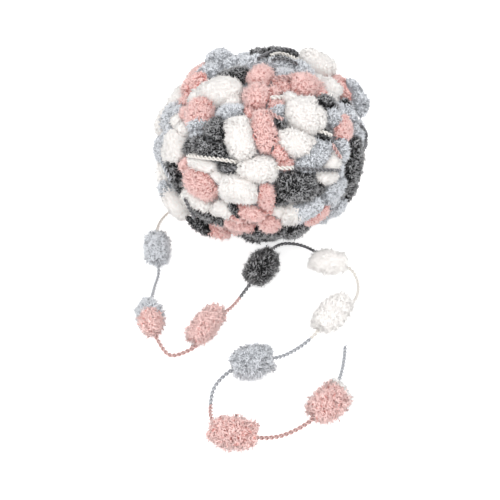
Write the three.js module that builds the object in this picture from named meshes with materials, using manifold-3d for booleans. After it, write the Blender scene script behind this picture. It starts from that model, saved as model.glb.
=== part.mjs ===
import * as THREE from "three";
import { mergeVertices } from "three/addons/utils/BufferGeometryUtils.js";
import Module from "manifold-3d";

// A wound ball of pompom yarn with its loose end laid in loops in front of it.
// Millimetres, +Z up, the origin where the ball rests; the ball is looked at from -Y.

// The ball: a squat ellipsoid through the crests of its pompoms, the flat spot that it rests on
// and the slope of the spot's edge, and how deep the surface dips between pompoms
const ballHalfWidth = 58.5;
const ballHalfHeight = 48.5;
const ballCentreHeight = 47;
const ballFlatRadius = 17;
const flatEdgeSlope = 1.2;
const valleyDepth = 4;
const ballDetail = 17;

// How far a pompom of the ball reaches from its middle, as a share of its width
const seatThickness = 0.47;

// Where the front pompoms are seen from, and how steeply the view looks down
const eye = new THREE.Vector3(-5.8, -353.7, 289);
const lookDown = THREE.MathUtils.degToRad(42);

// Pompoms that fill the parts of the ball that the front table leaves free; those underneath
// are pressed in
const fillCount = 190;
const fillSpacing = 11.5;
const fillLong = 22;
const fillWide = 17;
const fillLift = 2.5;
const fillFacing = 0.25;
const fillPressed = 4;

// The chained core thread of the loose end
const chainDiameter = 2.2;
const chainWaist = 1.7;
const stitchPitch = 2.6;
const plainStep = 4;
const chainSides = 8;
const clearance = 0.3;

// Locks of the loose pompoms: rings of four-sided locks whose feet share one rounded backing
const lockRings = 4;
const lockSectors = 8;
const lockEndShare = 0.86;
const lockTopShare = 0.66;
const lockCrown = 1.05;
const ringTwist = THREE.MathUtils.degToRad(17);
const backingShare = 0.8;

// Front pompoms of the ball, in the plane through its centre that the view looks at squarely:
// place of the middle across and up, length and width, turn of the length in degrees, lift of the crest
const frontPompoms = [
  { across: -22.4, up: 46.8, long: 17, wide: 17, turn: 60, lift: 3 },
  { across: -33, up: 39, long: 18, wide: 14, turn: 20, lift: 0 },
  { across: -38, up: 31, long: 16, wide: 12, turn: 60, lift: -1.5 },
  { across: -22, up: 29.5, long: 26, wide: 18, turn: -8, lift: 2.5 },
  { across: -33, up: 17, long: 22, wide: 18, turn: -80, lift: 2 },
  { across: -44, up: 26, long: 18, wide: 14, turn: 20, lift: 0 },
  { across: -48, up: 16, long: 18, wide: 16, turn: -60, lift: 0.5 },
  { across: -52, up: 14, long: 18, wide: 14, turn: 80, lift: 0 },
  { across: -8, up: 46, long: 18, wide: 15, turn: 0, lift: 0 },
  { across: -13.5, up: 38, long: 17, wide: 14, turn: 20, lift: 1 },
  { across: 1, up: 49, long: 17, wide: 14, turn: 30, lift: 0.5 },
  { across: 11, up: 44.5, long: 19, wide: 14, turn: 0, lift: 0.5 },
  { across: 0, up: 38, long: 18, wide: 15, turn: 70, lift: 2 },
  { across: -2, up: 26.5, long: 18, wide: 16, turn: -80, lift: 1.5 },
  { across: 11, up: 33, long: 14, wide: 12, turn: -40, lift: -1.5 },
  { across: 22.5, up: 33, long: 20, wide: 18, turn: 30, lift: 2 },
  { across: 8.5, up: 22, long: 14, wide: 11, turn: -75, lift: 0 },
  { across: -16, up: 18, long: 16, wide: 13, turn: 0, lift: 0 },
  { across: 31.5, up: 45.6, long: 24, wide: 16, turn: -15, lift: 0 },
  { across: 45, up: 31, long: 22, wide: 15, turn: -55, lift: 1.5 },
  { across: 50.5, up: 32, long: 15, wide: 12, turn: -30, lift: 0 },
  { across: 53.5, up: 26.5, long: 17, wide: 13, turn: -70, lift: 0.5 },
  { across: 38, up: 32, long: 15, wide: 13, turn: -60, lift: 1 },
  { across: 36.5, up: 23, long: 14, wide: 12, turn: -10, lift: 0.5 },
  { across: 40, up: 16, long: 14, wide: 11, turn: -70, lift: 0.5 },
  { across: 24, up: 16, long: 24, wide: 20, turn: -35, lift: 3.5 },
  { across: 54, up: 22, long: 14, wide: 12, turn: -60, lift: -0.5 },
  { across: -11, up: 4, long: 25, wide: 17, turn: -75, lift: 3 },
  { across: 2, up: 8.5, long: 25, wide: 15, turn: -82, lift: 2.5 },
  { across: 19.5, up: 1.5, long: 23, wide: 16, turn: -15, lift: 1.5 },
  { across: -46, up: 0, long: 19, wide: 16, turn: -80, lift: 1.5 },
  { across: -53.5, up: -1.5, long: 18, wide: 13, turn: -70, lift: 0.5 },
  { across: -23.5, up: 8, long: 16, wide: 15, turn: -60, lift: 1.5 },
  { across: -28, up: -1, long: 25, wide: 13, turn: -22, lift: 1 },
  { across: -31, up: -9.5, long: 19, wide: 12, turn: -10, lift: -0.5 },
  { across: -46.5, up: -13.5, long: 17, wide: 13, turn: -45, lift: 0 },
  { across: -32, up: -20, long: 22, wide: 18, turn: -30, lift: 2.5 },
  { across: -2, up: -12.5, long: 22, wide: 15, turn: 0, lift: 2 },
  { across: 29, up: -4.5, long: 25, wide: 15, turn: 35, lift: 1.5 },
  { across: 39, up: -8.5, long: 13, wide: 11, turn: 60, lift: 1 },
  { across: 36.5, up: -16, long: 15, wide: 10, turn: 0, lift: 0.5 },
  { across: 45, up: 10, long: 17, wide: 13, turn: 60, lift: 2 },
  { across: 44.5, up: -1.5, long: 15, wide: 11, turn: -80, lift: 0.5 },
  { across: 50, up: -7, long: 28, wide: 15.5, turn: -85, lift: 1.5 },
  { across: 53.5, up: 8, long: 17, wide: 11, turn: -75, lift: 0 },
  { across: -50, up: -25.5, long: 18, wide: 13, turn: -80, lift: -0.5 },
  { across: -46.5, up: -30.5, long: 22, wide: 15, turn: -60, lift: 1 },
  { across: -34, up: -28.5, long: 19, wide: 12, turn: -20, lift: 0.5 },
  { across: -31.5, up: -34, long: 16, wide: 12, turn: -15, lift: 0.5 },
  { across: -31, up: -42, long: 18, wide: 14, turn: -10, lift: 1.5 },
  { across: -25.5, up: -43.8, long: 22, wide: 13, turn: 5, lift: 0 },
  { across: -11.5, up: -23, long: 22, wide: 17, turn: -10, lift: 3 },
  { across: -19.5, up: -34, long: 14, wide: 11, turn: -10, lift: 0.5 },
  { across: 3, up: -27, long: 17, wide: 12, turn: -85, lift: 1 },
  { across: -5, up: -36, long: 17, wide: 11, turn: -22, lift: 2 },
  { across: 5, up: -41.5, long: 14, wide: 13, turn: -60, lift: 2 },
  { across: -11, up: -42.5, long: 18, wide: 11, turn: 0, lift: 0 },
  { across: 3.5, up: -45.5, long: 24, wide: 12.5, turn: -5, lift: 1 },
  { across: 18.5, up: -44, long: 19, wide: 14, turn: 5, lift: 1.5 },
  { across: 23, up: -34, long: 26, wide: 14, turn: 10, lift: 1.5 },
  { across: 19.5, up: -21.5, long: 23, wide: 19, turn: -10, lift: 2.5 },
  { across: 39, up: -24.5, long: 18, wide: 13, turn: 30, lift: 1 },
  { across: 48, up: -23.5, long: 15, wide: 12, turn: 25, lift: 0 },
  { across: 42, up: -32.5, long: 15, wide: 12, turn: 20, lift: 0 },
  { across: 30.5, up: -37, long: 17, wide: 9, turn: 40, lift: 1 },
];

// Middle line of the loose end, from inside the ball's skin to its bare end on the floor
const looseRoute = [
  { x: -33, y: 7, z: 11 },
  { x: -53, y: -1, z: 2 },
  { x: -58.3, y: -12, z: 1.9 },
  { x: -56.9, y: -38.8, z: 7 },
  { x: -54.9, y: -54, z: 2.6 },
  { x: -56.2, y: -66, z: 2.6 },
  { x: -55.8, y: -90.4, z: 7 },
  { x: -50.3, y: -104, z: 3.4 },
  { x: -44.3, y: -110.7, z: 1.6 },
  { x: -36, y: -108, z: 1.7 },
  { x: -31, y: -105, z: 3.8 },
  { x: -27.4, y: -95.7, z: 7.4 },
  { x: -15.5, y: -80, z: 2.6 },
  { x: -8.5, y: -68, z: 2.6 },
  { x: 0.6, y: -55.1, z: 8.3 },
  { x: 6.5, y: -37, z: 4.2 },
  { x: 13.5, y: -29.6, z: 1.8 },
  { x: 22, y: -30.2, z: 1.7 },
  { x: 30, y: -38, z: 4 },
  { x: 36.6, y: -50, z: 6.8 },
  { x: 48.5, y: -52.3, z: 3.6 },
  { x: 51.8, y: -61, z: 2 },
  { x: 48.3, y: -76, z: 3.8 },
  { x: 35.9, y: -87.8, z: 7.4 },
  { x: 25.5, y: -100, z: 3.4 },
  { x: 17.5, y: -106.6, z: 1.7 },
  { x: 9, y: -113, z: 3 },
  { x: -4.7, y: -120.3, z: 8.3 },
  { x: -15.5, y: -123, z: 4.2 },
  { x: -22, y: -129.8, z: 1.9 },
  { x: -23.6, y: -140, z: 1.9 },
  { x: -22.2, y: -150.5, z: 4.4 },
  { x: -13, y: -159.3, z: 7.6 },
  { x: -3, y: -159.6, z: 4.2 },
  { x: 8, y: -157, z: 1.9 },
  { x: 20.5, y: -151.3, z: 4.2 },
  { x: 29.6, y: -143.3, z: 7.9 },
  { x: 36.8, y: -125, z: 3.2 },
  { x: 39.8, y: -113, z: 1.6 },
  { x: 41.1, y: -104.6, z: 1.3 },
];

// Pompoms along the loose end: the route point at their middle, the turn of their length on the
// floor in degrees, length, width and colour
const loosePompoms = [
  { at: 3, turn: 98, long: 23.5, wide: 16, colour: "#c9ced6" },
  { at: 6, turn: 104, long: 25.5, wide: 15.5, colour: "#e3c1bf" },
  { at: 11, turn: 60, long: 25.5, wide: 15, colour: "#e6b9b2" },
  { at: 14, turn: 56, long: 24.5, wide: 18, colour: "#57575a" },
  { at: 19, turn: -8, long: 22, wide: 14, colour: "#f6f4f1" },
  { at: 23, turn: 55, long: 27, wide: 15.2, colour: "#f6f4f1" },
  { at: 27, turn: 18, long: 23, wide: 18, colour: "#c3c8cf" },
  { at: 32, turn: -8, long: 24, wide: 16.5, colour: "#e6b9b2" },
  { at: 36, turn: 44, long: 24, wide: 17.5, colour: "#e6b9b2" },
];

const wasm = await Module();
wasm.setup();

// A repeatable number from 0 to 1 for each index
function scatter(index) {
  const value = Math.sin(index * 12.9898 + 4.1) * 43758.5453;
  return value - Math.floor(value);
}

function toSolid(geometry) {
  const bare = geometry.clone();
  bare.deleteAttribute("normal");
  bare.deleteAttribute("uv");
  const merged = mergeVertices(bare);
  const mesh = new wasm.Mesh({
    numProp: 3,
    vertProperties: new Float32Array(merged.attributes.position.array),
    triVerts: new Uint32Array(merged.index.array),
  });
  return new wasm.Manifold(mesh);
}

function toGeometry(solid) {
  const mesh = solid.getMesh();
  const geometry = new THREE.BufferGeometry();
  geometry.setAttribute("position", new THREE.BufferAttribute(mesh.vertProperties, mesh.numProp));
  geometry.setIndex(new THREE.BufferAttribute(mesh.triVerts, 1));
  geometry.computeVertexNormals();
  return geometry;
}

// The point of the ball's ellipsoid, from its centre, that lies in a direction
function ballPoint(direction) {
  const flat = Math.hypot(direction.x, direction.y) / ballHalfWidth;
  const upright = direction.z / ballHalfHeight;
  return direction.clone().divideScalar(Math.hypot(flat, upright));
}

function ballNormal(point) {
  const wide = ballHalfWidth ** 2;
  return new THREE.Vector3(point.x / wide, point.y / wide, point.z / ballHalfHeight ** 2).normalize();
}

// Where the view through a place across and up meets the ball's ellipsoid drawn in by an inset,
// or where it passes closest to it
function seenPlace(across, up, inset) {
  const rise = new THREE.Vector3(0, Math.sin(lookDown), Math.cos(lookDown));
  const half = new THREE.Vector3(ballHalfWidth - inset, ballHalfWidth - inset, ballHalfHeight - inset);
  const from = eye.clone().sub(new THREE.Vector3(0, 0, ballCentreHeight));
  const along = new THREE.Vector3(across, 0, 0).addScaledVector(rise, up).sub(from).divide(half);
  from.divide(half);
  const nearest = from.clone().addScaledVector(along, -from.dot(along) / along.lengthSq());
  const spare = Math.max(0, 1 - nearest.lengthSq());
  return nearest.addScaledVector(along, -Math.sqrt(spare / along.lengthSq())).multiply(half);
}

// A pompom's seat on the ball: its middle, its half sizes, and the ways along, across and out
function seat(middle, heading, long, wide) {
  const out = ballNormal(middle);
  const along = heading.clone().addScaledVector(out, -heading.dot(out)).normalize();
  const aside = new THREE.Vector3().crossVectors(out, along);
  const half = new THREE.Vector3(long / 2, wide / 2, seatThickness * wide);
  return { middle, half, along, aside, out, crest: middle.clone().addScaledVector(out, half.z) };
}

function frontSeats() {
  return frontPompoms.map((row) => {
    const turn = THREE.MathUtils.degToRad(row.turn);
    const rise = new THREE.Vector3(0, Math.sin(lookDown), Math.cos(lookDown));
    const heading = new THREE.Vector3(Math.cos(turn), 0, 0).addScaledVector(rise, Math.sin(turn));
    const inset = seatThickness * row.wide - row.lift;
    return seat(seenPlace(row.across, row.up, inset), heading, row.long, row.wide);
  });
}

// An even spiral of places over the ball, kept where it faces away and no front pompom is near
function fillSeats(taken) {
  const seats = [];
  const goldenTurn = Math.PI * (3 - Math.sqrt(5));
  for (let i = 0; i < fillCount; i += 1) {
    const height = 1 - (2 * i + 0.4 + 1.2 * scatter(i + 1200)) / fillCount;
    const ring = Math.sqrt(1 - height * height);
    const angle = i * goldenTurn + 0.16 * (scatter(i + 1500) - 0.5);
    const point = ballPoint(new THREE.Vector3(ring * Math.cos(angle), ring * Math.sin(angle), height));
    const towards = eye.clone().sub(new THREE.Vector3(0, 0, ballCentreHeight)).sub(point).normalize();
    const facing = ballNormal(point).dot(towards) > (height < 0 ? 0 : fillFacing);
    if (facing || taken.some((other) => other.crest.distanceTo(point) < fillSpacing)) {
      continue;
    }
    const winding = 2 * Math.PI * scatter(i);
    const heading = new THREE.Vector3(Math.cos(winding), Math.sin(winding), scatter(i + 300) - 0.5);
    const size = 0.85 + 0.3 * scatter(i + 600);
    const inset = seatThickness * fillWide * size - fillLift * scatter(i + 900);
    const pressed = fillPressed * Math.max(0, -height - 0.5);
    const middle = point.addScaledVector(ballNormal(point), -inset - pressed);
    seats.push(seat(middle, heading, fillLong * size, fillWide * size));
  }
  return seats;
}

// How far the wound surface lies from the ball's centre in a direction: at the valleys' floor,
// or where the line leaves the last pompom that it passes through
function woundReach(direction, seats) {
  let reach = ballPoint(direction).length() - valleyDepth;
  for (const pompom of seats) {
    const ways = [pompom.along, pompom.aside, pompom.out];
    const start = new THREE.Vector3(...ways.map((way) => -pompom.middle.dot(way))).divide(pompom.half);
    const step = new THREE.Vector3(...ways.map((way) => direction.dot(way))).divide(pompom.half);
    const across = start.dot(step);
    const inside = across ** 2 - step.lengthSq() * (start.lengthSq() - 1);
    if (inside > 0) {
      reach = Math.max(reach, (Math.sqrt(inside) - across) / step.lengthSq());
    }
  }
  return reach;
}

function ballSolid() {
  const front = frontSeats();
  const seats = front.concat(fillSeats(front));
  const geometry = new THREE.IcosahedronGeometry(1, ballDetail);
  const position = geometry.attributes.position;
  const direction = new THREE.Vector3();
  for (let i = 0; i < position.count; i += 1) {
    direction.fromBufferAttribute(position, i).normalize();
    let reach = woundReach(direction, seats);
    if (direction.z < 0) {
      const toFloor = ballCentreHeight / -direction.z;
      const sideways = Math.hypot(direction.x, direction.y);
      const rimHeight = ballCentreHeight + flatEdgeSlope * ballFlatRadius;
      const toRim = rimHeight / (flatEdgeSlope * sideways - direction.z);
      reach = Math.min(toFloor, Math.max(reach, toRim));
    }
    const height = Math.max(0, ballCentreHeight + reach * direction.z);
    position.setXYZ(i, reach * direction.x, reach * direction.y, height < 1e-4 ? 0 : height);
  }
  return toSolid(geometry);
}

const route = new THREE.CatmullRomCurve3(
  looseRoute.map((row) => new THREE.Vector3(row.x, row.y, row.z)),
  false,
  "centripetal",
);
route.arcLengthDivisions = 4000;
const routeLength = route.getLength();

// Share of the loose end's length at a route point
function shareAt(index) {
  const lengths = route.getLengths();
  const place = (index / (looseRoute.length - 1)) * (lengths.length - 1);
  return lengths[Math.round(place)] / routeLength;
}

// Steps along the loose end: half a stitch apart where the chain shows, wider in the pompoms
function chainSteps() {
  const hidden = loosePompoms.map((row) => {
    return { middle: shareAt(row.at) * routeLength, half: row.long / 2 - 2 };
  });
  const steps = [{ share: 0, radius: chainWaist / 2 }];
  let place = 0;
  let raised = true;
  while (place < routeLength - stitchPitch / 2) {
    const inside = hidden.some((span) => Math.abs(place - span.middle) < span.half);
    place += inside ? plainStep : stitchPitch / 2;
    const radius = inside || !raised ? chainWaist / 2 : chainDiameter / 2;
    raised = !raised;
    steps.push({ share: Math.min(1, place / routeLength), radius });
  }
  return steps;
}

// The route with its points gathered at the given shares of its length
class SteppedRoute extends THREE.Curve {
  constructor(shares) {
    super();
    this.shares = shares;
  }

  shareOf(u) {
    return this.shares[Math.round(u * (this.shares.length - 1))];
  }

  getPointAt(u, target) {
    return route.getPointAt(this.shareOf(u), target);
  }

  getTangentAt(u, target) {
    return route.getTangentAt(this.shareOf(u), target);
  }
}

function roundSection(radius) {
  const corners = [];
  for (let i = 0; i < chainSides; i += 1) {
    const angle = (2 * Math.PI * i) / chainSides;
    corners.push(new THREE.Vector2(radius * Math.cos(angle), radius * Math.sin(angle)));
  }
  return new THREE.Shape(corners);
}

// The chained thread: each ring of the tube drawn out or in to its stitch's radius
function chainGeometry(steps) {
  const extrudePath = new SteppedRoute(steps.map((step) => step.share));
  const shape = roundSection(1);
  const geometry = new THREE.ExtrudeGeometry(shape, { steps: steps.length - 1, extrudePath });
  const centres = steps.map((step) => route.getPointAt(step.share));
  const position = geometry.attributes.position;
  const corner = new THREE.Vector3();
  for (let i = 0; i < position.count; i += 1) {
    corner.fromBufferAttribute(position, i);
    let nearest = 0;
    for (let j = 1; j < centres.length; j += 1) {
      if (corner.distanceToSquared(centres[j]) < corner.distanceToSquared(centres[nearest])) {
        nearest = j;
      }
    }
    corner.sub(centres[nearest]).setLength(steps[nearest].radius).add(centres[nearest]);
    position.setXYZ(i, corner.x, corner.y, corner.z);
  }
  return geometry;
}

// A plain, slightly wider run of the route that leaves room for the thread
function threadRoom(fromShare, toShare) {
  const run = [];
  const count = Math.max(2, Math.round(((toShare - fromShare) * routeLength) / plainStep));
  for (let i = 0; i <= count; i += 1) {
    run.push(route.getPointAt(fromShare + ((toShare - fromShare) * i) / count));
  }
  const start = route.getTangentAt(fromShare).multiplyScalar(-1).add(run[0]);
  const extrudePath = new THREE.CatmullRomCurve3([start, ...run]);
  const shape = roundSection(chainDiameter / 2 + clearance);
  return toSolid(new THREE.ExtrudeGeometry(shape, { steps: count + 1, extrudePath }));
}

// A place on a pompom by ring and sector, at a share of its outer size
function lockCorner(outer, ring, sector, share) {
  const lengthwise = lockEndShare * (1 - (2 * ring) / lockRings);
  const radius = Math.sqrt(1 - lengthwise * lengthwise);
  const angle = (2 * Math.PI * (sector % lockSectors)) / lockSectors + ring * ringTwist;
  const corner = new THREE.Vector3(lengthwise, radius * Math.cos(angle), radius * Math.sin(angle));
  return corner.multiply(outer).multiplyScalar(share);
}

function addFace(points, ...corners) {
  for (let i = 1; i < corners.length - 1; i += 1) {
    points.push(corners[0], corners[i], corners[i + 1]);
  }
}

function middleOf(corners) {
  return corners.reduce((sum, corner) => sum.add(corner), new THREE.Vector3()).divideScalar(corners.length);
}

// One lock: its foot's corners drawn together and out to its top; a steep one that would pass
// the floor stops there and lies level on it
function addLock(points, foot, tops) {
  const middle = middleOf(tops);
  const way = middle.clone().sub(middleOf(foot));
  const steep = -way.z > 0.6 * way.length();
  const level = steep && Math.min(...tops.map((corner) => corner.z)) < 0;
  const ends = tops.map((corner) => {
    const end = corner.clone();
    return level ? end.addScaledVector(way, -middle.z / way.z).setZ(0) : end.setZ(Math.max(0, end.z));
  });
  addFace(points, ...ends);
  foot.forEach((corner, i) => {
    const next = (i + 1) % foot.length;
    addFace(points, corner, foot[next], ends[next], ends[i]);
  });
}

// A pompom on the thread: locks all round a backing that the thread runs through
function pompomSolid(row, seed) {
  const share = shareAt(row.at);
  const middle = route.getPointAt(share);
  const turn = THREE.MathUtils.degToRad(row.turn);
  const outer = new THREE.Vector3(row.long / 2, row.wide / 2, row.wide / 2);
  const place = (corner) => corner.applyAxisAngle(new THREE.Vector3(0, 0, 1), turn).add(middle);
  const points = [];
  for (let ring = 0; ring < lockRings; ring += 1) {
    for (let sector = 0; sector < lockSectors; sector += 1) {
      const index = ring * lockSectors + sector + 40 * seed;
      const reach = 0.93 + 0.13 * scatter(index);
      const loop = [[ring, sector], [ring + 1, sector], [ring + 1, sector + 1], [ring, sector + 1]];
      const foot = loop.map(([at, side]) => place(lockCorner(outer, at, side, backingShare)));
      const full = loop.map(([at, side]) => lockCorner(outer, at, side, reach));
      const centre = middleOf(full).multiplyScalar(lockCrown);
      const tops = full.map((corner) => place(corner.lerp(centre, 1 - lockTopShare)));
      addLock(points, foot, tops);
    }
  }
  for (const end of [0, lockRings]) {
    const cap = place(new THREE.Vector3((end === 0 ? 0.9 : -0.9) * outer.x * backingShare, 0, 0));
    for (let sector = 0; sector < lockSectors; sector += 1) {
      const one = place(lockCorner(outer, end, sector, backingShare));
      const other = place(lockCorner(outer, end, sector + 1, backingShare));
      addFace(points, cap, ...(end === 0 ? [one, other] : [other, one]));
    }
  }
  const geometry = new THREE.BufferGeometry().setFromPoints(points);
  const half = (row.long / 2 + 4) / routeLength;
  return toSolid(geometry).subtract(threadRoom(share - half, share + half));
}

function yarnMesh(name, geometry, colour) {
  const material = new THREE.MeshStandardMaterial({ color: colour, roughness: 0.95, metalness: 0 });
  const mesh = new THREE.Mesh(geometry, material);
  mesh.name = name;
  return mesh;
}

const yarn = new THREE.Group();
const exitShare = shareAt(1);
const ball = ballSolid().subtract(threadRoom(0, exitShare));
yarn.add(yarnMesh("wound_ball", toGeometry(ball), "#d9d2d0"));
yarn.add(yarnMesh("loose_end", chainGeometry(chainSteps()), "#b9bcc2"));
loosePompoms.forEach((row, index) => {
  const solid = pompomSolid(row, index + 1);
  yarn.add(yarnMesh(`pompom_${index + 1}`, toGeometry(solid), row.colour));
});

export default yarn;
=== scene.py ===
# A wound ball of pompom yarn with its loose end laid in loops in front of it.
# Metres, +Z up, the ball on its flat spot at the origin. The camera looks along +Y, from above.
import math

import bpy
import numpy as np
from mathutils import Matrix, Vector


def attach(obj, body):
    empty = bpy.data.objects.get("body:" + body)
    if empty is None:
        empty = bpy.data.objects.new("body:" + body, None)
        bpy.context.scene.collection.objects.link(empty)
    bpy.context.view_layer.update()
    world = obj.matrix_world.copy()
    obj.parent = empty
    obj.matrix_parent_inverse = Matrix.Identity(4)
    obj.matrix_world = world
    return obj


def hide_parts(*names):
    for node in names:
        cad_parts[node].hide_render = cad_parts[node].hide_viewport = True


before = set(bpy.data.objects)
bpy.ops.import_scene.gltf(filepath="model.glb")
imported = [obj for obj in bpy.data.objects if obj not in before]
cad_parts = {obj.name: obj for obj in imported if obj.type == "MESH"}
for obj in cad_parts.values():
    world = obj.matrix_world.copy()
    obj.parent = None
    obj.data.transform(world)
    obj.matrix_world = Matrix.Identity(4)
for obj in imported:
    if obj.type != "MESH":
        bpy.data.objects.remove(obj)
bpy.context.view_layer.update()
mm = 0.001  # the loose end is in metres, and the pompoms' tables are in millimetres

# View
view = {"place": (-0.0058, -0.3537, 0.289), "lookDown": 42, "lens": 55.37, "sensor": 36, "nearest": 0.01}

bpy.ops.object.select_all(action="DESELECT")
bpy.ops.object.camera_add(location=view["place"], rotation=(math.radians(90 - view["lookDown"]), 0, 0))
camera = bpy.context.object
camera.data.lens = view["lens"]
camera.data.sensor_width = view["sensor"]
camera.data.clip_start = view["nearest"]
bpy.context.scene.camera = camera
print("camera set")


# Small helpers
def linearColour(code):
    # sRGB hex to linear, with alpha
    parts = [int(code[i : i + 2], 16) / 255 for i in (1, 3, 5)]
    return (*[p / 12.92 if p <= 0.04045 else ((p + 0.055) / 1.055) ** 2.4 for p in parts], 1)


def addNode(tree, kind, settings=None, inputs=None):
    node = tree.nodes.new(kind)
    for name, value in (settings or {}).items():
        setattr(node, name, value)
    for name, value in (inputs or {}).items():
        if isinstance(value, bpy.types.NodeSocket):
            tree.links.new(value, node.inputs[name])
        else:
            node.inputs[name].default_value = value
    return node


def scatter(index):
    # a repeatable number from 0 to 1 for each index
    value = math.sin(index * 12.9898 + 4.1) * 43758.5453
    return value - math.floor(value)


def unit(rows):
    return rows / np.maximum(np.linalg.norm(rows, axis=-1, keepdims=True), 1e-12)


# Polyester microfibre pile, cut and curled into tufts. It is matt, with a soft bloom at grazing
# angles. Painted shade makes it darker down between the tufts, and it is lighter at their ends. The
# faint glow is painted light that stands for light the fibres hand on to each other.
pileDyesAndPaintedLight = {
    "white": {"end": "#fbf8f5", "root": "#f2ece8", "glow": 0.08, "rootUpTo": 0.2, "endFrom": 1.0},
    "light": {"end": "#e9ecf1", "root": "#94979d", "glow": 0.05, "rootUpTo": 0.3, "endFrom": 1.1},
    "pink": {"end": "#f8d4cf", "root": "#d07d74", "glow": 0.06, "rootUpTo": 0.1, "endFrom": 0.98},
    "dark": {"end": "#c2c2c4", "root": "#0e0e0f", "glow": 0.0, "rootUpTo": 0.55, "endFrom": 1.4},
    # white pompoms that lie by themselves, with a stronger painted glow and lighter colours, standing for
    # more light let through them
    "bright": {"end": "#fffcf9", "root": "#f6f0ec", "glow": 0.18, "rootUpTo": 0.2, "endFrom": 1.0},
}
pile = {"roughness": 0.92, "specular": 0.15, "sheen": 0.3, "sheenRoughness": 0.45,
        # sizes in millimetres, and how much each pattern lightens the pile
        "mottle": 1.8, "mottleTone": 0.5, "fibre": 0.3, "fibreTone": 0.35,
        "fibreBump": 0.08, "bumpStrength": 0.6}


def polyesterPile(name):
    dye = pileDyesAndPaintedLight[name]
    material = bpy.data.materials.new(f"polyester pile, {name}")
    material.use_nodes = True
    tree = material.node_tree
    tree.nodes.clear()
    place = addNode(tree, "ShaderNodeTexCoord")
    height = addNode(tree, "ShaderNodeAttribute", {"attribute_name": "height"})
    toneAndShade = addNode(tree, "ShaderNodeAttribute", {"attribute_name": "toneAndShade"})
    # mottling a few tufts wide
    mottle = addNode(tree, "ShaderNodeTexNoise", inputs={
        "Vector": place.outputs["Object"], "Scale": 1 / (pile["mottle"] * mm), "Detail": 2.0})
    # single fibres, drawn a little coarser than the real 0.02 mm so that they show
    fibre = addNode(tree, "ShaderNodeTexNoise", inputs={
        "Vector": place.outputs["Object"], "Scale": 1 / (pile["fibre"] * mm), "Detail": 1.0})
    spread = addNode(tree, "ShaderNodeMath", {"operation": "MULTIPLY_ADD"}, {
        0: mottle.outputs["Fac"], 1: pile["mottleTone"], 2: toneAndShade.outputs["Fac"]})
    rise = addNode(tree, "ShaderNodeMath", {"operation": "ADD"}, {
        0: height.outputs["Fac"], 1: spread.outputs["Value"]})
    speckle = addNode(tree, "ShaderNodeMath", {"operation": "MULTIPLY_ADD"}, {
        0: fibre.outputs["Fac"], 1: pile["fibreTone"], 2: rise.outputs["Value"]})
    # painted shade: the root colour low in the pile and on deep or crowded locks, the end colour at the tips
    share = addNode(tree, "ShaderNodeMapRange", {"interpolation_type": "SMOOTHSTEP"}, {
        "Value": speckle.outputs["Value"], "From Min": dye["rootUpTo"], "From Max": dye["endFrom"]})
    colour = addNode(tree, "ShaderNodeMix", {"data_type": "RGBA"}, {
        0: share.outputs["Result"], 6: linearColour(dye["root"]), 7: linearColour(dye["end"])})
    bump = addNode(tree, "ShaderNodeBump", inputs={
        "Height": fibre.outputs["Fac"], "Strength": pile["bumpStrength"],
        "Distance": pile["fibreBump"] * mm})
    # the glow is painted light, a faint emission of the end colour
    surface = addNode(tree, "ShaderNodeBsdfPrincipled", inputs={
        "Base Color": colour.outputs[2], "Roughness": pile["roughness"],
        "Specular IOR Level": pile["specular"],
        "Sheen Weight": pile["sheen"], "Sheen Roughness": pile["sheenRoughness"],
        "Emission Color": linearColour(dye["end"]), "Emission Strength": dye["glow"],
        "Normal": bump.outputs["Normal"]})
    addNode(tree, "ShaderNodeOutputMaterial", inputs={"Surface": surface.outputs["BSDF"]})
    return material


# Two-ply polyester thread, chained tight. Its plies shine a little more than the pile. The gap colour is
# painted shade where the plies meet.
threadDyesAndPaintedShade = {
    "white": {"top": "#f4f1ec", "gap": "#d5cfc8"},
    "light": {"top": "#d6d9de", "gap": "#7b7d83"},
    "pink": {"top": "#e8c8c4", "gap": "#9d6f6a"},
    "dark": {"top": "#98989c", "gap": "#0b0b0c"},
}
thread = {"roughness": 0.8, "specular": 0.25, "sheen": 0.25, "sheenRoughness": 0.5,
          "fibre": 0.3, "fibreTone": 0.4, "fibreBump": 0.1, "bumpStrength": 0.5}


def twistedThread(name):
    dye = threadDyesAndPaintedShade[name]
    material = bpy.data.materials.new(f"twisted polyester thread, {name}")
    material.use_nodes = True
    tree = material.node_tree
    tree.nodes.clear()
    place = addNode(tree, "ShaderNodeTexCoord")
    height = addNode(tree, "ShaderNodeAttribute", {"attribute_name": "height"})
    fibre = addNode(tree, "ShaderNodeTexNoise", inputs={
        "Vector": place.outputs["Object"], "Scale": 1 / (thread["fibre"] * mm), "Detail": 1.0})
    rise = addNode(tree, "ShaderNodeMath", {"operation": "MULTIPLY_ADD", "use_clamp": True}, {
        0: fibre.outputs["Fac"], 1: thread["fibreTone"], 2: height.outputs["Fac"]})
    # painted shade: the gap colour where the plies meet, the top colour where a ply faces out
    colour = addNode(tree, "ShaderNodeMix", {"data_type": "RGBA"}, {
        0: rise.outputs["Value"], 6: linearColour(dye["gap"]), 7: linearColour(dye["top"])})
    bump = addNode(tree, "ShaderNodeBump", inputs={
        "Height": fibre.outputs["Fac"], "Strength": thread["bumpStrength"],
        "Distance": thread["fibreBump"] * mm})
    surface = addNode(tree, "ShaderNodeBsdfPrincipled", inputs={
        "Base Color": colour.outputs[2], "Roughness": thread["roughness"],
        "Specular IOR Level": thread["specular"], "Sheen Weight": thread["sheen"],
        "Sheen Roughness": thread["sheenRoughness"], "Normal": bump.outputs["Normal"]})
    addNode(tree, "ShaderNodeOutputMaterial", inputs={"Surface": surface.outputs["BSDF"]})
    return material


dyeNames = list(pileDyesAndPaintedLight)
pileMaterials = [polyesterPile(name) for name in dyeNames]
threadMaterials = [twistedThread(name) for name in threadDyesAndPaintedShade]
print("yarn materials made")


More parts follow.
